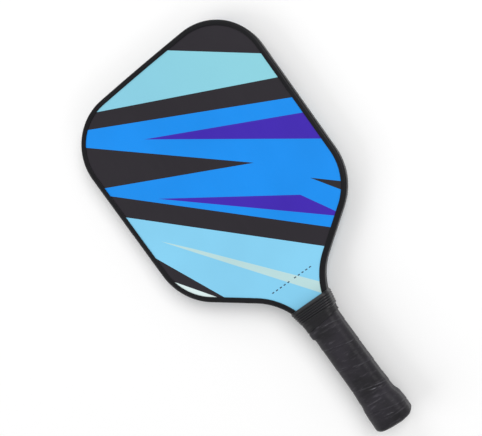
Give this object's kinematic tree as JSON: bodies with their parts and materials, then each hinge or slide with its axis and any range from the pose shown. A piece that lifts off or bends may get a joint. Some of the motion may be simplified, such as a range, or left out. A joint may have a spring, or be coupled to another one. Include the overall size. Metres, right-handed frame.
{
  "type": "pickleball paddle",
  "caption": "Pickleball paddle with a rounded rectangular honeycomb-cored head, a black edge guard, a geometric printed face and a tape-wrapped handle with a flared butt",
  "frame": {"origin": "Centre of the bounding box in X and Y, at its lowest point in Z, with the paddle lying flat", "axes": "+X across the paddle's width, +Y along its length from the butt to the tip of the head, +Z through its thickness, out of the front face"},
  "size_m": [0.2064, 0.4, 0.0313],
  "materials": {
    "core_polymer": "translucent off-white extruded polymer",
    "fibreglass": "cured glass cloth laminate",
    "print_film": "satin printed film in blues, purple, aqua and black",
    "guard_vinyl": "satin black extruded vinyl",
    "pallet_foam": "rigid moulded foam",
    "cap_plastic": "fine-textured moulded black plastic",
    "plug_plastic": "smooth moulded black plastic",
    "staple_steel": "plain steel wire",
    "wrap_leather": "black cushioned synthetic leather with a soft sheen",
    "finishing_vinyl": "smooth black vinyl tape",
    "collar_rubber": "ribbed black rubber"
  },
  "bodies": {
    "root": {"honeycomb_core": "core_polymer", "front_face_sheet": "fibreglass", "back_face_sheet": "fibreglass", "front_print_film": "print_film", "back_print_film": "print_film", "edge_guard": "guard_vinyl", "handle_pallet_front": "pallet_foam", "handle_pallet_back": "pallet_foam", "butt_cap": "cap_plastic", "butt_plug": "plug_plastic", "butt_staple_front": "staple_steel", "butt_staple_back": "staple_steel", "grip_wrap": "wrap_leather", "finishing_tape": "finishing_vinyl", "grip_collar": "collar_rubber"}
  },
  "joints": []
}
